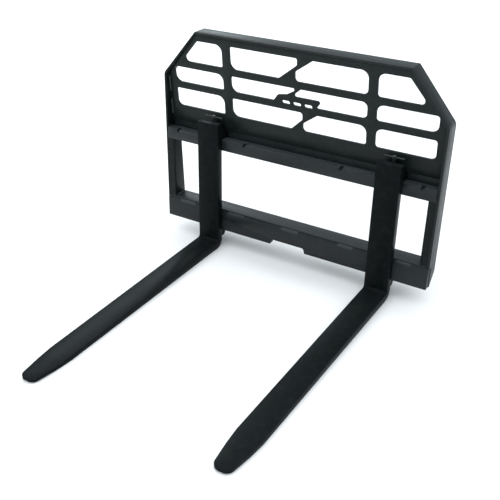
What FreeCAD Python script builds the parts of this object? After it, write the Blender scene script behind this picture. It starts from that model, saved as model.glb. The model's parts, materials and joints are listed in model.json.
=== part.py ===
import FreeCAD, Part
import math
import os
import Sketcher

# Pallet fork attachment for a skid-steer loader, in millimetres.
# X runs along the carriage bars, Y runs back towards the loader, Z is up.
# The origin is on the ground under the middle of the carriage's front face.

DOC = FreeCAD.newDocument("PalletFork")

# ---------------------------------------------------------------- dimensions
DIMENSIONS = [
    # frame outline
    ("frame_width", 1184, "over the side plates"),
    ("frame_top", 897, "top of the rim"),
    ("shoulder_height", 715, "where the chamfer meets the side"),
    ("chamfer_run", 152, "sideways run of the chamfer"),
    ("rim_thickness", 10, "flat bar"),
    ("rim_front", 4, "front edge, behind the bars' faces"),
    ("rim_depth", 68.5, "flat bar on edge"),
    ("rim_bend_radius", 20, "inside of the bend"),
    ("foot_cut_height", 52, "lower rear corner cut of the side plate"),
    ("foot_cut_depth", 41, "lower rear corner cut of the side plate"),
    ("weld_gap", 1, "fit-up gap around the headboard"),
    # headboard
    ("headboard_thickness", 8, "cut plate"),
    ("headboard_lean", 6, "degrees, foot further back"),
    ("headboard_foot", 508, "height of the bottom edge"),
    ("headboard_front", 5, "front face at the top edge"),
    # carriage bars
    ("upper_bar_length", 1163.4, "between the side plates"),
    ("upper_bar_top", 483, "407 above the lower bar's bottom edge"),
    ("upper_bar_height", 45, ""),
    ("upper_bar_depth", 38, ""),
    ("lower_bar_length", 1180, "let into the side plates"),
    ("lower_bar_bottom", 76, "class II, type A drop"),
    ("lower_bar_height", 89, ""),
    ("lower_bar_depth", 25, ""),
    ("removal_notch_width", 146, "lets the bottom hooks out"),
    ("removal_notch_height", 22, ""),
    ("lock_notch_width", 14, ""),
    ("lock_notch_length", 26, "from the front face back"),
    ("lock_notch_depth", 12, ""),
    ("notch_inner", 210, "lock notch from the middle"),
    ("notch_outer", 528, "lock notch from the middle"),
    # shelf and posts
    ("shelf_thickness", 8, ""),
    ("shelf_front", 3, "set back for the stitch welds"),
    ("shelf_rear", 72.5, ""),
    ("post_width", 30, "solid upright"),
    ("post_rear_top", 54, "rear face under the upper bar"),
    ("post_rear_foot", 70, "rear face on the shelf"),
    # loader quick-attach
    ("attach_thickness", 8, ""),
    ("attach_face_top", 61.5, "coupler face at the headboard's foot"),
    ("attach_face_foot", 72.5, "coupler face at the shelf's underside"),
    ("attach_top_half", 581.7, "half length of the top plate"),
    ("attach_lip_half", 565, "half length of its lip"),
    ("attach_bottom_half", 535, "half length of the bottom plate"),
    ("attach_top_foot", 432, "bottom edge of the top plate"),
    ("attach_apex", 537, "top edge of the top plate"),
    ("attach_lip_run", 42, "lip, measured back"),
    ("attach_flange_turn", 104, "where the flange leaves the web"),
    ("attach_flange_run", 62, "flange, measured back"),
    ("attach_flange_drop", 26, "fall of the flange"),
    ("lock_slot_spacing", 819, "between the slot centres"),
    ("lock_slot_length", 62, ""),
    ("lock_slot_width", 26, ""),
    # forks
    ("fork_width", 95, ""),
    ("fork_thickness", 31, "shank, and blade at the heel"),
    ("fork_gap", 0.4, "shank to bar"),
    ("blade_length", 1106, "from the shank's front face"),
    ("blade_tip_thickness", 10, ""),
    ("blade_tip_rise", 6, "underside bevel at the tip"),
    ("blade_bevel_length", 130, ""),
    ("blade_tip_narrowing", 18, "each side, at the tip"),
    ("blade_tip_taper", 170, "length of the narrowing"),
    ("blade_middle_narrowing", 5.5, "each side, partway"),
    ("blade_middle_taper", 100, "partway point's distance from the tip"),
    ("blade_tip_radius", 29, "plan corner"),
    ("heel_outer_radius", 40, ""),
    ("heel_inner_radius", 12, ""),
    ("shank_top", 555, ""),
    ("left_fork_x", -361, "centre as parked"),
    ("right_fork_x", 406, "centre as parked"),
    # hooks
    ("hook_width", 91, ""),
    ("hook_gap", 0.5, "to the bars"),
    ("top_hook_back_height", 541, "at the shank"),
    ("top_hook_rear", 52.5, ""),
    ("top_hook_rear_height", 495, "top of the lip's rear face"),
    ("top_hook_lip_foot", 466, ""),
    ("bottom_hook_foot", 44, ""),
    ("bottom_hook_lip", 14, "thickness behind the bar"),
    ("bottom_hook_lip_top", 93, ""),
    # lock pins
    ("pin_radius", 6, ""),
    ("pin_fit", 0.08, "radial running fit"),
    ("pin_y", 17, ""),
    ("pin_lift", 1.2, "raised pin above the bar"),
    ("pin_head_radius", 8, ""),
    ("pin_head_height", 13, ""),
    ("handle_height", 566, "axis of the cross bar"),
    ("handle_radius", 3, ""),
    ("handle_length", 78, ""),
]

SHEET = DOC.addObject("Spreadsheet::Sheet", "Dims")
SHEET.Label = "dimensions"
for row, (alias, value, note) in enumerate(DIMENSIONS, start=1):
    SHEET.set("A%d" % row, alias)
    SHEET.set("B%d" % row, str(value))
    SHEET.set("C%d" % row, note)
    SHEET.setAlias("B%d" % row, alias)
DOC.recompute()


def dim(name):
    """Value of a sheet cell, for sketch geometry."""
    return float(SHEET.get(name))


# ---------------------------------------------------------------- helpers
PARTS = []


def make_body(label):
    body = DOC.addObject("PartDesign::Body", label)
    body.Label = label
    PARTS.append(body)
    return body


def origin_plane(body, role):
    for feature in body.Origin.OriginFeatures:
        if feature.Role == role:
            return feature
    raise RuntimeError("no plane " + role)


def make_sketch(body, role, name, offset=None):
    """Sketch on one of the body's origin planes, with an optional (plane expression) lift."""
    sketch = body.newObject("Sketcher::SketchObject", name)
    sketch.AttachmentSupport = [(origin_plane(body, role), "")]
    sketch.MapMode = "FlatFace"
    if offset:
        sketch.setExpression("AttachmentOffset.Base.z", offset)
    DOC.recompute()
    return sketch


def corner(before, point, after, radius):
    """Tangent points and middle point of the arc that rounds a corner."""
    back = (before - point).normalize()
    ahead = (after - point).normalize()
    half = back.getAngle(ahead) / 2
    reach = radius / math.tan(half)
    middle_direction = (back + ahead).normalize()
    middle = point + middle_direction * (radius / math.sin(half) - radius)
    return point + back * reach, middle, point + ahead * reach


def add_loop(sketch, points, radius=0.0):
    """Closed outline. Each point is (x, y) or (x, y, corner radius)."""
    vectors = [FreeCAD.Vector(p[0], p[1], 0) for p in points]
    radii = [p[2] if len(p) > 2 else radius for p in points]
    count = len(points)
    ends = []
    for i in range(count):
        if radii[i] > 0:
            ends.append(corner(vectors[i - 1], FreeCAD.Vector(vectors[i]), vectors[(i + 1) % count], radii[i]))
        else:
            ends.append((vectors[i], None, vectors[i]))
    for i in range(count):
        start, middle, end = ends[i]
        if middle is not None:
            fix(sketch, Part.Arc(start, middle, end))
        fix(sketch, Part.LineSegment(end, ends[(i + 1) % count][0]))


def add_obround(sketch, x, y, length, width):
    """Slot along the sketch's first axis, centred on (x, y), with round ends."""
    radius = width / 2
    reach = length / 2 - radius
    for side in (-1, 1):
        end = x + side * reach
        fix(sketch, Part.Arc(FreeCAD.Vector(end, y - side * radius, 0),
                             FreeCAD.Vector(end + side * radius, y, 0),
                             FreeCAD.Vector(end, y + side * radius, 0)))
        fix(sketch, Part.LineSegment(FreeCAD.Vector(end, y + side * radius, 0),
                                     FreeCAD.Vector(end - side * 2 * reach, y + side * radius, 0)))


def fix(sketch, curve):
    index = sketch.addGeometry(curve, False)
    sketch.addConstraint(Sketcher.Constraint("Block", index))


def pad(body, sketch, name, length, backwards=False):
    """Pad a sketch by an expression's length; backwards pads against the sketch normal."""
    feature = body.newObject("PartDesign::Pad", name)
    feature.Profile = sketch
    feature.setExpression("Length", length)
    feature.Reversed = backwards
    sketch.Visibility = False
    DOC.recompute()
    return feature


def pocket(body, sketch, name, depth=None, backwards=False):
    """Pocket a sketch through all, or to an expression's depth. The volume has to fall."""
    before = body.Shape.Volume
    feature = body.newObject("PartDesign::Pocket", name)
    feature.Profile = sketch
    if depth is None:
        feature.Type = "ThroughAll"
        feature.Midplane = True
    else:
        feature.setExpression("Length", depth)
        feature.Reversed = backwards
    sketch.Visibility = False
    DOC.recompute()
    if not body.Shape.Volume < before - 1.0:
        raise RuntimeError(name + " removed nothing")
    return feature


def place(body, x="0", y="0", z="0"):
    for axis, expression in zip("xyz", (x, y, z)):
        body.setExpression("Placement.Base." + axis, expression)


def mirrored(points):
    return [(-p[0],) + tuple(p[1:]) for p in reversed(points)]


def rectangle(x0, y0, x1, y1):
    return [(x0, y0), (x1, y0), (x1, y1), (x0, y1)]


# ---------------------------------------------------------------- shared lines
HALF = dim("frame_width") / 2
TOP = dim("frame_top")
SHOULDER = dim("shoulder_height")
CHAMFER_TOP_X = HALF - dim("chamfer_run")
CHAMFER_LENGTH = math.hypot(dim("chamfer_run"), TOP - SHOULDER)
CHAMFER_X = -dim("chamfer_run") / CHAMFER_LENGTH
CHAMFER_Z = (TOP - SHOULDER) / CHAMFER_LENGTH


def chamfer_point(inset, z=None, x=None):
    """Point on the line that lies inset inside the right chamfer, at a height or a width."""
    base_x = HALF - inset * CHAMFER_Z
    base_z = SHOULDER + inset * CHAMFER_X
    if z is not None:
        return base_x + (z - base_z) / CHAMFER_Z * CHAMFER_X, z
    return x, base_z + (x - base_x) / CHAMFER_X * CHAMFER_Z


# ---------------------------------------------------------------- rim
def build_rim_top():
    thickness = dim("rim_thickness")
    inner_x = chamfer_point(thickness, z=TOP - thickness)[0]
    body = make_body("rim_top")
    sketch = make_sketch(body, "XZ_Plane", "RimTopFront")
    add_loop(sketch, [(-inner_x, TOP - thickness), (inner_x, TOP - thickness),
                      (CHAMFER_TOP_X, TOP), (-CHAMFER_TOP_X, TOP)])
    pad(body, sketch, "RimTopPad", "Dims.rim_depth", backwards=True)
    place(body, y="Dims.rim_front")


def build_rim_side(label, side):
    thickness = dim("rim_thickness")
    bend = dim("rim_bend_radius")
    inner_x = HALF - thickness
    foot = dim("lower_bar_bottom")
    outline = [
        (HALF, foot),
        (HALF, SHOULDER, bend + thickness),
        (CHAMFER_TOP_X, TOP),
        chamfer_point(thickness, z=TOP - thickness),
        chamfer_point(thickness, x=inner_x) + (bend,),
        (inner_x, foot),
    ]
    body = make_body(label)
    sketch = make_sketch(body, "XZ_Plane", label + "_front")
    add_loop(sketch, outline if side > 0 else mirrored(outline))
    pad(body, sketch, label + "_pad", "Dims.rim_depth", backwards=True)

    # opening for the lower bar and the cut foot, drawn from the side
    front = -dim("rim_front")
    depth = dim("rim_depth")
    cuts = make_sketch(body, "YZ_Plane", label + "_side")
    add_loop(cuts, rectangle(front, foot - 1, front + dim("lower_bar_depth"), foot + dim("lower_bar_height")))
    slope = dim("foot_cut_height") / dim("foot_cut_depth")
    add_loop(cuts, [(depth - dim("foot_cut_depth") - 1 / slope, foot - 1), (depth + 1, foot - 1),
                    (depth + 1, foot + dim("foot_cut_height") + slope)])
    pocket(body, cuts, label + "_cuts")
    place(body, y="Dims.rim_front")


# ---------------------------------------------------------------- headboard
COLUMN_OUTER = 549      # outer windows, outer edge
COLUMN_RIB = (320, 285)  # rib between the outer and the inner windows
ROW_ONE = (862, 772)
ROW_TWO = (745, 681)
ROW_THREE = (654, 578)
TIGHT = 11              # window corner radii
MIDDLING = 22
WIDE = 30
SLOT_PITCH = 47
SLOT_LENGTH = 34
SLOT_WIDTH = 14
TAB_MIDDLE = (3, 683)
SLANT_INSET = 26        # window edge inside the outer face of the chamfer


def outer_windows():
    """Right-hand column, bottom to top. The left column mirrors it."""
    rib = COLUMN_RIB[0]
    slant_top = chamfer_point(SLANT_INSET, z=ROW_ONE[0])
    slant_foot = chamfer_point(SLANT_INSET, x=492)
    return [
        [(rib, ROW_THREE[1], TIGHT), (COLUMN_OUTER, ROW_THREE[1], MIDDLING),
         (COLUMN_OUTER, ROW_THREE[0], TIGHT), (rib, ROW_THREE[0], WIDE)],
        [(rib, ROW_TWO[1], TIGHT), (COLUMN_OUTER, ROW_TWO[1], WIDE),
         (COLUMN_OUTER, ROW_TWO[0], TIGHT), (rib, ROW_TWO[0], WIDE)],
        [(rib, ROW_ONE[1], TIGHT), (492, ROW_ONE[1], 16),
         slant_foot + (TIGHT,), slant_top + (TIGHT,), (rib, ROW_ONE[0], WIDE)],
    ]


def inner_windows():
    """Six windows on either side of the slanted ribs."""
    rib = COLUMN_RIB[1]
    return [
        # row one
        [(-rib, ROW_ONE[1], WIDE), (-76, ROW_ONE[1], TIGHT), (4, 836, 11), (4, ROW_ONE[0], 8),
         (-rib, ROW_ONE[0], TIGHT)],
        [(-5, ROW_ONE[1], 14), (rib, ROW_ONE[1], MIDDLING), (rib, ROW_ONE[0], WIDE), (68, ROW_ONE[0], 5),
         (-5, 809, 14)],
        # row two, with the raised tab between them
        [(-rib, ROW_TWO[1], WIDE), (-98, ROW_TWO[1], 3), (-79, 708, 10), (-42, 714, 10), (-8, 734, 5),
         (-8, ROW_TWO[0], 4), (-rib, ROW_TWO[0], TIGHT)],
        [(82, ROW_TWO[1], 3), (rib, ROW_TWO[1], MIDDLING), (rib, ROW_TWO[0], MIDDLING), (20, ROW_TWO[0], 5),
         (-7, 722, 6), (-7, 711, 5), (105, 711, 9)],
        # row three
        [(-rib, ROW_THREE[1], WIDE), (-24, ROW_THREE[1], 5), (26, 626, 12), (26, ROW_THREE[0], 12),
         (-rib, ROW_THREE[0], TIGHT)],
        [(27, ROW_THREE[1], 16), (rib, ROW_THREE[1], 14), (rib, ROW_THREE[0], WIDE), (88, ROW_THREE[0], 5),
         (27, 610, 12)],
    ]


def build_headboard():
    lean = math.radians(dim("headboard_lean"))
    top = TOP - dim("rim_thickness") - dim("weld_gap") - 0.2
    gap = dim("rim_thickness") + dim("weld_gap")

    def onto_plate(points):
        """Heights on the object to distances down the leaning plate."""
        return [(p[0], (p[1] - top) / math.cos(lean)) + tuple(p[2:]) for p in points]

    inner_x = HALF - gap
    corner_radius = dim("rim_bend_radius") - dim("weld_gap")
    foot = dim("headboard_foot")
    outline = [
        (inner_x, foot),
        chamfer_point(gap, x=inner_x) + (corner_radius,),
        chamfer_point(gap, z=top),
    ]
    body = make_body("headboard")
    sketch = make_sketch(body, "XZ_Plane", "HeadboardFront")
    add_loop(sketch, onto_plate(outline + mirrored(outline)))
    for window in outer_windows():
        add_loop(sketch, onto_plate(window))
        add_loop(sketch, onto_plate(mirrored(window)))
    for window in inner_windows():
        add_loop(sketch, onto_plate(window))
    tab = onto_plate([TAB_MIDDLE])[0]
    for step in (-1, 0, 1):
        add_obround(sketch, tab[0] + step * SLOT_PITCH, tab[1], SLOT_LENGTH, SLOT_WIDTH)
    pad(body, sketch, "HeadboardPad", "Dims.headboard_thickness", backwards=True)
    body.setExpression("Placement.Rotation.Axis.x", "1")
    body.setExpression("Placement.Rotation.Axis.y", "0")
    body.setExpression("Placement.Rotation.Axis.z", "0")
    body.setExpression("Placement.Rotation.Angle", "Dims.headboard_lean")
    place(body, y="Dims.headboard_front", z="Dims.frame_top - Dims.rim_thickness - Dims.weld_gap - 0.2")


# ---------------------------------------------------------------- carriage bars
def build_upper_bar():
    body = make_body("upper_bar")
    sketch = make_sketch(body, "YZ_Plane", "UpperBarSection")
    add_loop(sketch, rectangle(0, 0, dim("upper_bar_depth"), dim("upper_bar_height")))
    pad(body, sketch, "UpperBarPad", "Dims.upper_bar_length")
    cuts = make_sketch(body, "XY_Plane", "LockNotches", "Dims.upper_bar_height")
    half = dim("lock_notch_width") / 2
    length = dim("lock_notch_length")
    start = dim("upper_bar_length") / 2
    positions = [-dim("notch_outer"), dim("left_fork_x"), -dim("notch_inner"),
                 dim("notch_inner"), dim("right_fork_x"), dim("notch_outer")]
    for x in positions:
        add_loop(cuts, [(start + x - half, -1), (start + x + half, -1),
                        (start + x + half, length, half - 0.1), (start + x - half, length, half - 0.1)])
    pocket(body, cuts, "LockNotchCut", "Dims.lock_notch_depth")
    place(body, x="-Dims.upper_bar_length / 2", z="Dims.upper_bar_top - Dims.upper_bar_height")


def build_lower_bar():
    body = make_body("lower_bar")
    sketch = make_sketch(body, "XZ_Plane", "LowerBarFront")
    half = dim("lower_bar_length") / 2
    notch = dim("removal_notch_width") / 2
    rise = dim("removal_notch_height")
    add_loop(sketch, [(-half, 0), (-notch - 6, 0), (-notch, rise, 10), (notch, rise, 10), (notch + 6, 0),
                      (half, 0), (half, dim("lower_bar_height")), (-half, dim("lower_bar_height"))])
    pad(body, sketch, "LowerBarPad", "Dims.lower_bar_depth", backwards=True)
    place(body, z="Dims.lower_bar_bottom")


def build_shelf():
    body = make_body("shelf_plate")
    sketch = make_sketch(body, "XY_Plane", "ShelfPlan")
    half = HALF - dim("rim_thickness")
    add_loop(sketch, rectangle(-half, dim("shelf_front"), half, dim("shelf_rear")))
    pad(body, sketch, "ShelfPad", "Dims.shelf_thickness")
    place(body, z="Dims.lower_bar_bottom + Dims.lower_bar_height")


def build_post(label, side):
    foot = dim("lower_bar_bottom") + dim("lower_bar_height") + dim("shelf_thickness")
    top = dim("upper_bar_top") - dim("upper_bar_height")
    front = dim("rim_front")
    body = make_body(label)
    sketch = make_sketch(body, "YZ_Plane", label + "_section")
    add_loop(sketch, [(front, foot), (dim("post_rear_foot"), foot), (dim("post_rear_top"), top), (front, top)])
    upright = pad(body, sketch, label + "_pad", "Dims.post_width")
    inner_x = 0 if side > 0 else dim("post_width")
    edges = []
    for i, edge in enumerate(upright.Shape.Edges, start=1):
        ends = [v.Point for v in edge.Vertexes]
        if all(abs(p.x - inner_x) < 0.01 and abs(p.y - front) < 0.01 for p in ends):
            edges.append("Edge%d" % i)
    rounding = body.newObject("PartDesign::Fillet", label + "_rounding")
    rounding.Base = (upright, edges)
    rounding.Radius = 7
    DOC.recompute()
    inner = "Dims.frame_width / 2 - Dims.rim_thickness"
    place(body, x=inner + " - Dims.post_width" if side > 0 else "-(" + inner + ")")


# ---------------------------------------------------------------- loader quick-attach
def face_at(height):
    """Coupler face's distance back at a height: the face leans, foot further back."""
    top = dim("headboard_foot")
    foot = dim("lower_bar_bottom") + dim("lower_bar_height")
    slope = (dim("attach_face_foot") - dim("attach_face_top")) / (top - foot)
    return dim("attach_face_top") + slope * (top - height)


def build_attach_top():
    body = make_body("attach_top")
    sketch = make_sketch(body, "YZ_Plane", "AttachTopSection")
    thickness = dim("attach_thickness")
    lip = dim("attach_lip_run")
    foot = dim("attach_top_foot")
    apex = dim("attach_apex")
    front = face_at(apex) - thickness
    tip = (front + thickness + lip, apex - lip - thickness)
    root = apex - 14
    add_loop(sketch, [(face_at(foot) - thickness, foot), (front, apex), (front + 3, apex), (tip[0], tip[1] + 3),
                      tip, (tip[0] - 5.7, tip[1] - 5.7), (face_at(root), root), (face_at(foot), foot)])
    pad(body, sketch, "AttachTopPad", "2 * Dims.attach_top_half")
    ends = make_sketch(body, "XY_Plane", "LipEnds")
    half = dim("attach_top_half")
    for side in (-1, 1):
        near, far = sorted((half + side * dim("attach_lip_half"), half + side * (half + 2)))
        add_loop(ends, rectangle(near, face_at(foot) + 0.5, far, tip[0] + 5))
    pocket(body, ends, "LipTrim")
    place(body, x="-Dims.attach_top_half")


def build_attach_bottom():
    body = make_body("attach_bottom")
    sketch = make_sketch(body, "YZ_Plane", "AttachBottomSection")
    thickness = dim("attach_thickness")
    turn = dim("attach_flange_turn")
    run = dim("attach_flange_run")
    drop = dim("attach_flange_drop")
    web_top = dim("lower_bar_bottom") + dim("lower_bar_height")
    front = face_at(turn) - thickness
    slant = math.hypot(run, drop)
    offset = (drop / slant * thickness, run / slant * thickness)
    inside_height = turn + offset[1] - (thickness - offset[0]) * drop / run
    add_loop(sketch, [(face_at(web_top) - thickness, web_top), (front, turn), (front + run, turn - drop),
                      (front + run + offset[0], turn - drop + offset[1]),
                      (face_at(inside_height), inside_height), (face_at(web_top), web_top)])
    pad(body, sketch, "AttachBottomPad", "2 * Dims.attach_bottom_half")
    cuts = make_sketch(body, "XY_Plane", "LockSlots")
    for side in (-1, 1):
        x = dim("attach_bottom_half") + side * dim("lock_slot_spacing") / 2
        add_obround(cuts, x, front + 36, dim("lock_slot_length"), dim("lock_slot_width"))
    pocket(body, cuts, "LockSlotCut")
    place(body, x="-Dims.attach_bottom_half")


# ---------------------------------------------------------------- forks
def build_fork(label, x_alias):
    thickness = dim("fork_thickness")
    back = -dim("fork_gap")
    front = back - thickness
    tip = front - dim("blade_length")
    top = dim("shank_top")
    rise = dim("blade_tip_rise")
    body = make_body(label)
    section = make_sketch(body, "YZ_Plane", label + "_section")
    add_loop(section, [
        (back, 0, dim("heel_outer_radius")), (back, top, 3), (front, top, 3),
        (front, thickness, dim("heel_inner_radius")), (tip, rise + dim("blade_tip_thickness"), 3),
        (tip, rise, 3), (tip + dim("blade_bevel_length"), 0)])
    pad(body, section, label + "_pad", "Dims.fork_width")

    # trim the tip to its plan shape
    width = dim("fork_width")
    narrow = dim("blade_tip_narrowing")
    taper = dim("blade_tip_taper")
    middle = dim("blade_middle_narrowing")
    partway = tip + dim("blade_middle_taper")
    radius = dim("blade_tip_radius")
    plan = make_sketch(body, "XY_Plane", label + "_tip")
    add_loop(plan, [(-5, tip - 5), (width + 5, tip - 5), (width + 5, tip + taper), (width, tip + taper),
                    (width - middle, partway, 300), (width - narrow, tip, radius), (narrow, tip, radius),
                    (middle, partway, 300), (0, tip + taper), (-5, tip + taper)])
    pocket(body, plan, label + "_trim")
    place(body, x="Dims.%s - Dims.fork_width / 2" % x_alias)


def build_top_hook(label, x_alias):
    back = -dim("fork_gap")
    gap = dim("hook_gap")
    over = dim("upper_bar_top") + gap
    behind = dim("upper_bar_depth") + gap
    rear = dim("top_hook_rear")
    foot = dim("top_hook_lip_foot")
    body = make_body(label)
    section = make_sketch(body, "YZ_Plane", label + "_section")
    add_loop(section, [
        (back, over), (back, dim("top_hook_back_height")), (rear, dim("top_hook_rear_height"), 5),
        (rear, foot, 3), (behind, foot, 2), (behind, over)])
    pad(body, section, label + "_pad", "Dims.hook_width")
    bore = make_sketch(body, "XY_Plane", label + "_bore")
    circle = Part.Circle(FreeCAD.Vector(dim("hook_width") / 2, dim("pin_y"), 0), FreeCAD.Vector(0, 0, 1),
                         dim("pin_radius") + dim("pin_fit"))
    fix(bore, circle)
    pocket(body, bore, label + "_bore_cut")
    place(body, x="Dims.%s - Dims.hook_width / 2" % x_alias)


def build_bottom_hook(label, x_alias):
    back = -dim("fork_gap")
    gap = dim("hook_gap")
    under = dim("lower_bar_bottom") - gap
    behind = dim("lower_bar_depth") + gap
    rear = behind + dim("bottom_hook_lip")
    foot = dim("bottom_hook_foot")
    body = make_body(label)
    section = make_sketch(body, "YZ_Plane", label + "_section")
    add_loop(section, [
        (back, foot), (behind - 6, foot, 6), (rear, foot + 20, 6), (rear, dim("bottom_hook_lip_top"), 3),
        (behind, dim("bottom_hook_lip_top"), 3), (behind, under), (back, under)])
    pad(body, section, label + "_pad", "Dims.hook_width")
    place(body, x="Dims.%s - Dims.hook_width / 2" % x_alias)


# ---------------------------------------------------------------- locks
def build_lock_pin(label, x_alias):
    foot = dim("upper_bar_top") + dim("pin_lift")
    axis_height = dim("handle_height")
    head_foot = axis_height - dim("pin_head_height") / 2
    head_top = axis_height + dim("pin_head_height") / 2
    radius = dim("pin_radius")
    head = dim("pin_head_radius")
    body = make_body(label)
    half_section = make_sketch(body, "XZ_Plane", label + "_profile")
    add_loop(half_section, [(0, foot), (radius - 2, foot), (radius, foot + 4), (radius, head_foot),
                            (head, head_foot), (head, head_top - 2), (head - 2, head_top), (0, head_top)])
    turned = body.newObject("PartDesign::Revolution", label + "_turned")
    turned.Profile = half_section
    turned.ReferenceAxis = (half_section, ["V_Axis"])
    turned.Angle = 360
    half_section.Visibility = False
    DOC.recompute()
    hole = make_sketch(body, "YZ_Plane", label + "_cross_hole")
    fix(hole, Part.Circle(FreeCAD.Vector(0, axis_height, 0), FreeCAD.Vector(0, 0, 1), dim("handle_radius")))
    pocket(body, hole, label + "_cross_cut")
    place(body, x="Dims." + x_alias, y="Dims.pin_y")


def build_lock_handle(label, x_alias):
    body = make_body(label)
    section = make_sketch(body, "YZ_Plane", label + "_section")
    fix(section, Part.Circle(FreeCAD.Vector(0, 0, 0), FreeCAD.Vector(0, 0, 1), dim("handle_radius")))
    bar = pad(body, section, label + "_pad", "Dims.handle_length")
    edges = ["Edge%d" % (i + 1) for i, edge in enumerate(bar.Shape.Edges)
             if isinstance(edge.Curve, Part.Circle)]
    rounding = body.newObject("PartDesign::Fillet", label + "_ends")
    rounding.Base = (bar, edges)
    rounding.Radius = 1.2
    DOC.recompute()
    place(body, x="Dims.%s - Dims.handle_length / 2" % x_alias, y="Dims.pin_y", z="Dims.handle_height")


# ---------------------------------------------------------------- build
build_headboard()
build_rim_top()
build_rim_side("rim_left", -1)
build_rim_side("rim_right", 1)
build_upper_bar()
build_lower_bar()
build_shelf()
build_post("post_left", -1)
build_post("post_right", 1)
build_attach_top()
build_attach_bottom()
for hand in ("left", "right"):
    alias = hand + "_fork_x"
    build_fork("fork_" + hand, alias)
    build_top_hook("top_hook_" + hand, alias)
    build_bottom_hook("bottom_hook_" + hand, alias)
    build_lock_pin("lock_pin_" + hand, alias)
    build_lock_handle("lock_handle_" + hand, alias)
DOC.recompute()

# ---------------------------------------------------------------- checks and export
for item in DOC.Objects:
    if any(flag in ("Invalid", "Error") for flag in item.State):
        raise RuntimeError("%s is %s" % (item.Name, item.State))
for body in PARTS:
    if body.Shape.isNull() or not body.Shape.isValid() or len(body.Shape.Solids) != 1:
        raise RuntimeError(body.Label + " has a bad shape")

os.makedirs("parts", exist_ok=True)
for body in PARTS:
    body.Shape.exportStep("parts/%s.step" % body.Label)
    box = body.Shape.BoundBox
    print("%-20s x %7.1f %7.1f  y %7.1f %7.1f  z %7.1f %7.1f  volume %.0f" % (
        body.Label, box.XMin, box.XMax, box.YMin, box.YMax, box.ZMin, box.ZMax, body.Shape.Volume))
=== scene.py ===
import json
import math

import bmesh
import bpy
from mathutils import Matrix, Vector, noise


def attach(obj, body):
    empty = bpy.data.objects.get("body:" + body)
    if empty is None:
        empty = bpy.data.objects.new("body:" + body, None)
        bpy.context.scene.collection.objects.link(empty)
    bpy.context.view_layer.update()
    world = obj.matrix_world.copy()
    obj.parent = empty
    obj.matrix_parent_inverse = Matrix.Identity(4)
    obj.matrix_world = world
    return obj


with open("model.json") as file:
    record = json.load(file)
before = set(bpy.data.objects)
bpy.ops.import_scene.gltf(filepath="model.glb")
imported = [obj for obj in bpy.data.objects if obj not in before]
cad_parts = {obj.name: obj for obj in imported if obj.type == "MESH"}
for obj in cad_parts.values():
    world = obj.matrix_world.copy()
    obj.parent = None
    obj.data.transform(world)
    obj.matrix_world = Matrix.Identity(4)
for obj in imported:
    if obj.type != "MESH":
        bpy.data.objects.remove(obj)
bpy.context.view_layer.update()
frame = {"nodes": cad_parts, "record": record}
NODES = frame["nodes"]

# Looks for a pallet fork attachment, in metres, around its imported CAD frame.
# +X runs along the carriage bars, +Y back to the loader, +Z up.


def add_object(name, data):
    thing = bpy.data.objects.new(name, data)
    bpy.context.scene.collection.objects.link(thing)
    return thing


def turn_towards(direction, axis):
    """A turn that points an object's own axis along a direction, with its Y kept upwards."""
    return Vector(direction).to_track_quat(axis, "Y").to_matrix().to_4x4()


# ---------------------------------------------------------------- camera
CAMERA_PLACE = Vector((1.334, -2.563, 1.711))
CAMERA_AZIMUTH = math.radians(33.29)
CAMERA_ELEVATION = math.radians(30.27)
CAMERA_ROLL = math.radians(-0.47)
CAMERA_LENS = 58.24
CAMERA_SENSOR = 36.0
CAMERA_SHIFT = (0.0692, 0.0168)


def make_camera():
    data = bpy.data.cameras.new("camera")
    data.sensor_width = CAMERA_SENSOR
    data.lens = CAMERA_LENS
    data.shift_x, data.shift_y = CAMERA_SHIFT
    camera = add_object("camera", data)
    back = Vector((math.sin(CAMERA_AZIMUTH) * math.cos(CAMERA_ELEVATION),
                   -math.cos(CAMERA_AZIMUTH) * math.cos(CAMERA_ELEVATION),
                   math.sin(CAMERA_ELEVATION)))
    roll = Matrix.Rotation(CAMERA_ROLL, 4, "Z")
    camera.matrix_world = Matrix.Translation(CAMERA_PLACE) @ turn_towards(-back, "-Z") @ roll
    bpy.context.scene.camera = camera


# ---------------------------------------------------------------- floor and light
FLOOR_REACH = 14.0
FLOOR_WHITE = (0.94, 0.94, 0.94, 1)
FLOOR_ROUGHNESS = 0.9
FLOOR_SHINE = 0.1

# The floor fills the photo's view, so from there the world shows only as light and in the gloss.
WORLD_HORIZON = (0.62, 0.70, 0.74, 1)
WORLD_ZENITH = (0.20, 0.23, 0.25, 1)
WORLD_BLEND = (0.05, 0.75)

CEILING_POWER = 3.1
CEILING_ANGLE = math.radians(110)
CEILING_COLOR = (0.95, 0.98, 1.0)
CEILING_FROM = (-0.10, -0.12, 1.0)

# name, place, target, size, power, colour
AREA_LIGHTS = [
    ("back_left", (-3.4, 2.6, 2.5), (-0.3, -0.4, 0.2), (2.6, 1.4), 45, (0.88, 0.97, 1.0)),
    ("right_side", (3.4, 0.6, 1.5), (0.5, 0.0, 0.5), (1.4, 1.4), 12, (1, 1, 1)),
    ("front_fill", (-0.6, -3.2, 1.9), (0.0, 0.0, 0.55), (2.0, 1.2), 14, (1, 1, 1)),
]


def make_floor():
    reach = FLOOR_REACH
    corners = [(-reach, -reach, 0), (reach, -reach, 0), (reach, reach, 0), (-reach, reach, 0)]
    mesh = bpy.data.meshes.new("floor")
    mesh.from_pydata(corners, [], [(0, 1, 2, 3)])
    floor = add_object("floor", mesh)
    material = bpy.data.materials.new("floor_white")
    material.use_nodes = True
    shader = material.node_tree.nodes["Principled BSDF"]
    shader.inputs["Base Color"].default_value = FLOOR_WHITE
    shader.inputs["Roughness"].default_value = FLOOR_ROUGHNESS
    shader.inputs["Specular IOR Level"].default_value = FLOOR_SHINE
    mesh.materials.append(material)


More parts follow.
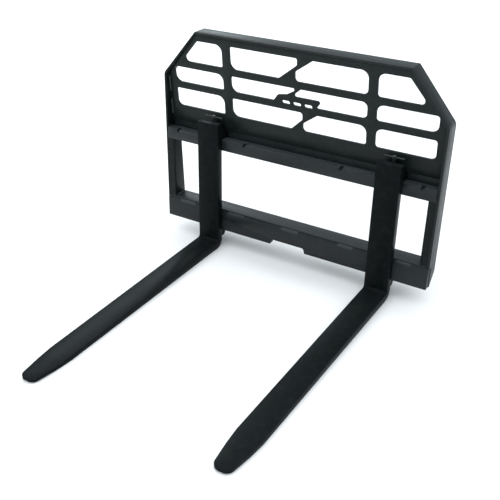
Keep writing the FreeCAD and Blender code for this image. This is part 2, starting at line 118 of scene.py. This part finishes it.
def make_world():
    """A studio that is bright near the horizon and dimmer overhead."""
    world = bpy.data.worlds.new("studio")
    world.use_nodes = True
    tree = world.node_tree
    background = tree.nodes["Background"]
    coordinates = tree.nodes.new("ShaderNodeTexCoord")
    parts = tree.nodes.new("ShaderNodeSeparateXYZ")
    height = tree.nodes.new("ShaderNodeMapRange")
    height.inputs["From Min"].default_value = WORLD_BLEND[0]
    height.inputs["From Max"].default_value = WORLD_BLEND[1]
    blend = tree.nodes.new("ShaderNodeMix")
    blend.data_type = "RGBA"
    blend.inputs[6].default_value = WORLD_HORIZON
    blend.inputs[7].default_value = WORLD_ZENITH
    tree.links.new(coordinates.outputs["Generated"], parts.inputs[0])
    tree.links.new(parts.outputs["Z"], height.inputs["Value"])
    tree.links.new(height.outputs[0], blend.inputs[0])
    tree.links.new(blend.outputs[2], background.inputs["Color"])
    background.inputs["Strength"].default_value = 1.0
    bpy.context.scene.world = world


def area_light(name, place, target, size, power, color):
    data = bpy.data.lights.new(name, "AREA")
    data.shape = "RECTANGLE"
    data.size, data.size_y = size
    data.energy = power
    data.color = color
    aim = turn_towards(Vector(target) - Vector(place), "-Z")
    add_object(name, data).matrix_world = Matrix.Translation(place) @ aim


def make_light():
    bpy.context.scene.view_settings.view_transform = "Standard"
    make_world()
    data = bpy.data.lights.new("ceiling", "SUN")
    data.energy = CEILING_POWER
    data.angle = CEILING_ANGLE
    data.color = CEILING_COLOR
    add_object("ceiling", data).matrix_world = turn_towards(CEILING_FROM, "Z")
    for light in AREA_LIGHTS:
        area_light(*light)


# ---------------------------------------------------------------- materials
UP = (0, 0, 1)
RIGHT = (1, 0, 0)
# Faces turned up, to the right and out along the chamfer are lightened: dust mixed with painted
# highlight where the studio light falls. The chamfer takes a share of the side's amount.
CHAMFER_OUT = (0.77, 0, 0.64)
FACING_RANGE = (0.80, 0.97)
CHAMFER_DUST_AND_HIGHLIGHT = 0.6
GRIME_AMOUNT = 0.16
GRIME_COLOR = (0.050, 0.055, 0.057, 1)
# The lighter colour for dust and painted highlight on the up, right and chamfer faces.
DUST_AND_HIGHLIGHT_COLOR = (0.115, 0.128, 0.132, 1)
RUBBED_COLOR = (0.17, 0.175, 0.18, 1)
RUBBED_WIDTH = 0.0016
RUBBED_RANGE = (0.995, 0.80)
PEEL_SCALE = 420.0
PEEL_HEIGHT = 0.00012
WAVE_SCALE = 9.0
WAVE_HEIGHT = 0.0012
WAVE_STRENGTH = 0.20


class Nodes:
    """Short names for building a node tree."""

    def __init__(self, name):
        self.material = bpy.data.materials.new(name)
        self.material.use_nodes = True
        self.tree = self.material.node_tree
        self.shader = self.tree.nodes["Principled BSDF"]
        self.place = self.add("ShaderNodeTexCoord").outputs["Object"]

    def add(self, kind, **values):
        node = self.tree.nodes.new(kind)
        for key, value in values.items():
            setattr(node, key, value)
        return node

    def link(self, a, b):
        self.tree.links.new(a, b)

    def put(self, socket, value):
        if hasattr(value, "links"):
            self.link(value, socket)
        else:
            socket.default_value = value

    def noise(self, scale, detail, roughness):
        node = self.add("ShaderNodeTexNoise")
        node.inputs["Scale"].default_value = scale
        node.inputs["Detail"].default_value = detail
        node.inputs["Roughness"].default_value = roughness
        self.link(self.place, node.inputs["Vector"])
        return node.outputs["Fac"]

    def span(self, value, low, high, to_low=0.0, to_high=1.0):
        node = self.add("ShaderNodeMapRange")
        node.inputs["From Min"].default_value = low
        node.inputs["From Max"].default_value = high
        node.inputs["To Min"].default_value = to_low
        node.inputs["To Max"].default_value = to_high
        self.link(value, node.inputs["Value"])
        return node.outputs[0]

    def math(self, operation, a, b):
        node = self.add("ShaderNodeMath", operation=operation)
        self.put(node.inputs[0], a)
        self.put(node.inputs[1], b)
        return node.outputs[0]

    def mix(self, factor, a, b):
        node = self.add("ShaderNodeMix", data_type="RGBA")
        self.put(node.inputs[0], factor)
        self.put(node.inputs[6], a)
        self.put(node.inputs[7], b)
        return node.outputs[2]

    def bump(self, height, distance, strength, normal=None):
        node = self.add("ShaderNodeBump")
        node.inputs["Distance"].default_value = distance
        node.inputs["Strength"].default_value = strength
        self.link(height, node.inputs["Height"])
        if normal is not None:
            self.link(normal, node.inputs["Normal"])
        return node.outputs[0]

    def normal_along(self, direction):
        """How far the surface's normal lies along a direction, a fixed one or a socket's."""
        geometry = self.add("ShaderNodeNewGeometry")
        dot = self.add("ShaderNodeVectorMath", operation="DOT_PRODUCT")
        self.link(geometry.outputs["Normal"], dot.inputs[0])
        self.put(dot.inputs[1], direction)
        return dot.outputs["Value"]

    def edges(self, radius):
        """1 on sharp edges, 0 on flats: how far a bevelled normal turns from the true one."""
        bevel = self.add("ShaderNodeBevel", samples=6)
        bevel.inputs["Radius"].default_value = radius
        return self.span(self.normal_along(bevel.outputs[0]), *RUBBED_RANGE)

    def facing(self, direction):
        """1 on faces that look along a direction, 0 on the rest."""
        return self.span(self.normal_along(direction), *FACING_RANGE)

    def done(self, color, roughness, normal):
        self.put(self.shader.inputs["Base Color"], color)
        self.put(self.shader.inputs["Roughness"], roughness)
        self.link(normal, self.shader.inputs["Normal"])
        return self.material


def paint(name, base, shine, gloss, wear, orange_peel=0.30, top_dust_and_highlight=0.0, side_dust_and_highlight=0.0,
          mottle=0.20):
    """Black enamel over steel: soft mottling, dust mixed with painted highlight on faces turned
    up, to the right and out along the chamfer, orange peel and thin bright edges.

    gloss is the paint's middle roughness, and mottle how far its colour varies."""
    n = Nodes(name)
    n.shader.inputs["Specular IOR Level"].default_value = shine
    cloud = n.span(n.noise(3.0, 4.0, 0.6), 0.35, 0.7)
    grime = n.span(n.noise(38.0, 5.0, 0.65), 0.45, 0.75, 0.0, 0.25 + mottle * 3)
    dark = tuple(c * (1 - mottle) for c in base) + (1,)
    light = tuple(c * (1 + mottle) for c in base) + (1,)
    color = n.mix(cloud, dark, light)
    color = n.mix(n.math("MULTIPLY", grime, GRIME_AMOUNT), color, GRIME_COLOR)
    speckle = n.span(n.noise(95.0, 6.0, 0.75), 0.38, 0.66, 0.45, 1.25)
    # Dust and painted highlight: faces turned up, right and out along the chamfer are lightened
    # with a speckled texture.
    dust_and_highlight = ((UP, top_dust_and_highlight), (RIGHT, side_dust_and_highlight), (CHAMFER_OUT, side_dust_and_highlight * CHAMFER_DUST_AND_HIGHLIGHT))
    for direction, amount in dust_and_highlight:
        if amount > 0:
            cover = n.math("MULTIPLY", n.math("MULTIPLY", n.facing(direction), speckle), amount)
            color = n.mix(cover, color, DUST_AND_HIGHLIGHT_COLOR)
    chips = n.span(n.noise(160.0, 3.0, 0.6), 0.50, 0.62)
    rub = n.math("MULTIPLY", n.math("MULTIPLY", n.edges(RUBBED_WIDTH), chips), wear)
    color = n.mix(rub, color, RUBBED_COLOR)
    roughness = n.math("ADD", n.span(cloud, 0, 1, gloss - 0.05, gloss + 0.05),
                       n.math("MULTIPLY", grime, 0.10))
    normal = n.bump(n.noise(PEEL_SCALE, 2.0, 0.5), PEEL_HEIGHT, orange_peel)
    normal = n.bump(n.noise(WAVE_SCALE, 2.0, 0.5), WAVE_HEIGHT, WAVE_STRENGTH, normal)
    return n.done(color, roughness, normal)


def make_materials():
    return {
        "bar": paint("frame_paint_bar", (0.0090, 0.0122, 0.0130), shine=0.23, gloss=0.42,
                     wear=0.45, top_dust_and_highlight=0.10, side_dust_and_highlight=0.10),
        # The upper bar's paint lightens its top faces far more than the lower bar's: mostly a
        # painted highlight on the top face under the headboard, with some dust.
        "bar_top_painted_highlight": paint("frame_paint_bar_top_painted_highlight", (0.0095, 0.0125, 0.0135), shine=0.25, gloss=0.40,
                         wear=0.50, top_dust_and_highlight=0.38, side_dust_and_highlight=0.10),
        "coupler": paint("frame_paint_coupler", (0.0150, 0.0205, 0.0215), shine=0.24, gloss=0.42,
                         wear=0.40, top_dust_and_highlight=0.20, side_dust_and_highlight=0.10),
        "rim": paint("frame_paint_rim", (0.0100, 0.0132, 0.0135), shine=0.17, gloss=0.40,
                     wear=0.45, orange_peel=0.34, top_dust_and_highlight=0.20, side_dust_and_highlight=0.10),
        # A darker copy of the rim paint for the left rim: painted shade down the frame's left
        # side.
        "rim_painted_shade": paint("frame_paint_rim_painted_shade", (0.0042, 0.0058, 0.0056), shine=0.14,
                           gloss=0.42, wear=0.40, orange_peel=0.34, top_dust_and_highlight=0.22),
        "board": paint("frame_paint_board", (0.0054, 0.0088, 0.0086), shine=0.19, gloss=0.42,
                       wear=0.35, top_dust_and_highlight=0.05, side_dust_and_highlight=0.10),
        "post": paint("frame_paint_post", (0.0046, 0.0064, 0.0064), shine=0.14, gloss=0.44,
                      wear=0.35),
        "fork": paint("fork_paint_black", (0.0036, 0.0052, 0.0056), shine=0.046, gloss=0.36,
                      wear=0.35, top_dust_and_highlight=0.03, mottle=0.10),
        "lock": paint("lock_paint_black", (0.0200, 0.0235, 0.0250), shine=0.35, gloss=0.45,
                      wear=0.9),
        "weld": paint("weld_paint_black", (0.0200, 0.0260, 0.0280), shine=0.36, gloss=0.34,
                      wear=0.25, orange_peel=0.50),
    }


# The frame's nodes; every other node takes the look of its body. The left rim takes a darker copy
# of the rim paint, a painted shade down the frame's left side.
LOOKS = {
    "headboard": "board", "rim_top": "rim", "rim_left": "rim_painted_shade", "rim_right": "rim",
    "upper_bar": "bar_top_painted_highlight", "lower_bar": "bar", "shelf_plate": "bar",
    "post_left": "post", "post_right": "post", "attach_top": "coupler", "attach_bottom": "board",
}


def dress_nodes(materials):
    for body, members in frame["record"]["behaviour"]["bodies"].items():
        for member in members:
            look = LOOKS.get(member, "fork" if body.endswith("fork") else "lock")
            slots = NODES[member].data.materials
            slots.clear()
            slots.append(materials[look])


# ---------------------------------------------------------------- edges of the CAD pieces
EDGE_WIDTHS = {
    "headboard": 0.0007, "rim_top": 0.0012, "rim_left": 0.0012, "rim_right": 0.0012,
    "upper_bar": 0.0016, "lower_bar": 0.0016, "shelf_plate": 0.0008,
    "post_left": 0.0012, "post_right": 0.0012, "attach_top": 0.0009, "attach_bottom": 0.0009,
    "fork_left": 0.0022, "fork_right": 0.0022,
    "top_hook_left": 0.0018, "top_hook_right": 0.0018,
    "bottom_hook_left": 0.0018, "bottom_hook_right": 0.0018,
    "lock_pin_left": 0.0004, "lock_pin_right": 0.0004,
}
EDGE_SEGMENTS = 2
EDGE_ANGLE = math.radians(25.0)
JOIN_DISTANCE = 0.00002


def soften(name, width):
    """Rounds a piece's sharp edges a little, as sheared, ground or forged steel has them."""
    node = NODES[name]
    for polygon in node.data.polygons:
        polygon.use_smooth = True
    weld = node.modifiers.new("join", "WELD")
    weld.merge_threshold = JOIN_DISTANCE
    bevel = node.modifiers.new("soft_edges", "BEVEL")
    bevel.width = width
    bevel.segments = EDGE_SEGMENTS
    bevel.limit_method = "ANGLE"
    bevel.angle_limit = EDGE_ANGLE
    bevel.use_clamp_overlap = True
    bevel.harden_normals = True


# ---------------------------------------------------------------- weld beads
RIPPLE = 0.0048
RIPPLE_STEPS = 5
RIPPLE_DEPTH = 0.10
UNEVENNESS = 0.10
END_TAPER = 0.004
END_LEAST = 0.02

FILLET_RUNS = 6
FILLET_ROOT = 0.0006
FILLET_STRAIGHT = 0.55
FILLET_CURVED = 0.45

SIDES = ((-1, "left"), (1, "right"))


def sweep(name, body, start, end, section, material):
    """A bead: a closed cross-section swept from start to end, with ripples and rounded ends.

    section(scale) gives the cross-section's points for a size factor."""
    start = Vector(start)
    end = Vector(end)
    length = (end - start).length
    steps = max(8, int(length / (RIPPLE / RIPPLE_STEPS)))
    verts = []
    faces = []
    count = len(section(1.0))
    for step in range(steps + 1):
        along = length * step / steps
        phase = (along / RIPPLE) % 1.0
        wander = noise.noise(Vector((along * 120.0, start.x * 9.0, start.z * 7.0)))
        scale = 1.0 - RIPPLE_DEPTH * phase + UNEVENNESS * wander
        taper = min(1.0, along / END_TAPER, (length - along) / END_TAPER)
        scale *= math.sqrt(max(END_LEAST, taper))
        middle = start.lerp(end, step / steps)
        verts.extend(middle + offset for offset in section(scale))
    for step in range(steps):
        for i in range(count):
            j = (i + 1) % count
            a = step * count
            b = a + count
            faces.append((a + i, a + j, b + j, b + i))
    faces.append(tuple(reversed(range(count))))
    faces.append(tuple(range(steps * count, (steps + 1) * count)))
    mesh = bpy.data.meshes.new(name)
    mesh.from_pydata(verts, [], faces)
    for polygon in mesh.polygons:
        polygon.use_smooth = True
    builder = bmesh.new()
    builder.from_mesh(mesh)
    bmesh.ops.recalc_face_normals(builder, faces=builder.faces)
    builder.to_mesh(mesh)
    builder.free()
    mesh.materials.append(material)
    bead = add_object(name, mesh)
    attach(bead, body)


def fillet(name, body, start, end, leg_a, leg_b, material, size):
    """A fillet weld in the corner from start to end; leg_a and leg_b run along the two faces."""
    leg_a = Vector(leg_a).normalized()
    leg_b = Vector(leg_b).normalized()

    def section(scale):
        reach = size * scale
        points = [-(leg_a + leg_b) * FILLET_ROOT]
        for i in range(FILLET_RUNS + 1):
            share = i / FILLET_RUNS
            turn = math.pi / 2 * i / FILLET_RUNS
            straight = leg_a * (1 - share) + leg_b * share
            curved = leg_a * math.cos(turn) + leg_b * math.sin(turn)
            points.append((straight * FILLET_STRAIGHT + curved * FILLET_CURVED) * reach)
        return points

    sweep(name, body, start, end, section, material)


SHELF_SEAM_Z = 0.165
SHELF_STITCHES = [(-0.526, -0.447), (-0.284, -0.205), (-0.030, 0.048), (0.220, 0.288),
                  (0.460, 0.523)]
# y and z from the seam: from the shelf's edge, down the bar's front, to a point inside the bar
STITCH_PROFILE = [(0.0030, 0.0034), (0.0016, 0.0030), (0.0004, 0.0012), (-0.0002, -0.0010),
                  (-0.00028, -0.0050), (-0.00022, -0.0095), (0.0004, -0.0125),
                  (0.0030, -0.0060)]
STITCH_ROOT = 0.003


def make_shelf_stitches(material):
    """Flat beads that run from the shelf's front edge down over the lower bar's top edge."""

    def section(scale):
        inset = STITCH_ROOT * (1 - scale)
        return [Vector((0, y if y < 0 else y * scale + inset, z * scale))
                for y, z in STITCH_PROFILE]

    for i, (x0, x1) in enumerate(SHELF_STITCHES):
        sweep("weld_shelf_%d" % (i + 1), "frame", (x0, 0, SHELF_SEAM_Z),
              (x1, 0, SHELF_SEAM_Z), section, material)


WALL_X = 0.582
POST_X = 0.552
BAR_TOP = 0.483
BAR_FOOT = 0.438
SHELF_TOP = 0.173
SHELF_THICKNESS = 0.008
SHELF_WELD_Y = (0.065, 0.071)
LOWER_BAR_FOOT = 0.076
LOWER_BAR_WELD_TOP = 0.160
LOWER_BAR_REAR = 0.025
UPPER_BAR_REAR = 0.038
FRAME_BEAD = 0.0045


def make_bar_welds(material):
    """Beads at the ends of the bars, the shelf and the posts."""
    up = (0, 0, 1)
    down = (0, 0, -1)
    rear = (0, 1, 0)
    shelf_foot = SHELF_TOP - SHELF_THICKNESS
    for side, hand in SIDES:
        wall = WALL_X * side
        post = POST_X * side
        inward = (-side, 0, 0)
        beads = [
            ("bar_end_top", (wall, 0.006, BAR_TOP), (wall, 0.036, BAR_TOP), up),
            ("post_top", (post, 0.012, BAR_FOOT), (post, 0.037, BAR_FOOT), down),
            ("post_foot", (post, 0.012, SHELF_TOP), (post, 0.068, SHELF_TOP), up),
            ("shelf_end", (wall, SHELF_WELD_Y[0], shelf_foot), (wall, SHELF_WELD_Y[1], shelf_foot),
             down),
            ("bar_end_rear", (wall, LOWER_BAR_REAR, LOWER_BAR_FOOT + 0.01),
             (wall, LOWER_BAR_REAR, LOWER_BAR_WELD_TOP), rear),
            ("upper_end_rear", (wall, UPPER_BAR_REAR, BAR_FOOT + 0.004),
             (wall, UPPER_BAR_REAR, BAR_TOP - 0.004), rear),
        ]
        for label, start, end, leg in beads:
            fillet("weld_%s_%s" % (label, hand), "frame", start, end, inward, leg,
                   material, FRAME_BEAD)


LEAN = math.radians(6)
BOARD_TOP_Y = 0.005
BOARD_TOP_Z = 0.8858
BOARD_FOOT_Z = 0.508
BOARD_THICKNESS = 0.008
BOARD_SIDE_X = 0.5815
BOARD_BEAD = 0.0042
BOARD_SIDE_WELDS = ((0.53, 0.60), (0.63, 0.70))
FOOT_WELD_COUNT = 7
FOOT_WELD_FIRST = -0.54
FOOT_WELD_PITCH = 0.165
FOOT_WELD_LENGTH = 0.09
FOOT_WELD_DEPTH = 0.0078
FOOT_WELD_GAP = 0.0004


def make_board_welds(material):
    """Beads down the headboard's sides, front and rear, and behind its foot."""
    down = Vector((0, math.sin(LEAN), -math.cos(LEAN)))
    rear = Vector((0, math.cos(LEAN), math.sin(LEAN)))
    top = Vector((0, BOARD_TOP_Y, BOARD_TOP_Z))

    def on_board(z, depth):
        return top + down * ((BOARD_TOP_Z - z) / math.cos(LEAN)) + rear * depth

    for side, hand in SIDES:
        for part, depth, out in (("front", 0.0, -rear), ("rear", BOARD_THICKNESS, rear)):
            for i, span in enumerate(BOARD_SIDE_WELDS):
                ends = [on_board(z, depth) for z in span]
                for end in ends:
                    end.x = BOARD_SIDE_X * side
                fillet("weld_board_%s_%s_%d" % (part, hand, i + 1), "frame",
                       ends[0], ends[1], (-side, 0, 0), out, material, BOARD_BEAD)
    foot_y = on_board(BOARD_FOOT_Z, FOOT_WELD_DEPTH).y + FOOT_WELD_GAP
    for i in range(FOOT_WELD_COUNT):
        x = FOOT_WELD_FIRST + FOOT_WELD_PITCH * i
        fillet("weld_board_foot_%d" % (i + 1), "frame", (x, foot_y, BOARD_FOOT_Z),
               (x + FOOT_WELD_LENGTH, foot_y, BOARD_FOOT_Z), (0, -1, 0), (0, 0.032, -1), material,
               BOARD_BEAD)


HOOK_WELD_X = (("left", -0.361), ("right", 0.406))
HOOK_WELD_HALF = 0.044
HOOK_WELD_Y = -0.0004
# label, height, directions of the two faces, size
HOOK_WELDS = (
    ("top", 0.541, (0, 0, 1), (0, 0.754, -0.656), 0.0065),
    ("foot", 0.044, (0, 0, -1), (0, 1, 0), 0.0050),
)


def make_hook_welds(material):
    """Beads that hold each fork's two hooks to its shank."""
    for hand, x in HOOK_WELD_X:
        for label, z, leg_a, leg_b, size in HOOK_WELDS:
            fillet("weld_hook_%s_%s" % (label, hand), hand + "_fork",
                   (x - HOOK_WELD_HALF, HOOK_WELD_Y, z), (x + HOOK_WELD_HALF, HOOK_WELD_Y, z),
                   leg_a, leg_b, material, size)


# ---------------------------------------------------------------- build
make_camera()
make_floor()
make_light()
MATERIALS = make_materials()
dress_nodes(MATERIALS)
for part, width in EDGE_WIDTHS.items():
    soften(part, width)
make_shelf_stitches(MATERIALS["weld"])
make_bar_welds(MATERIALS["weld"])
make_board_welds(MATERIALS["weld"])
make_hook_welds(MATERIALS["weld"])
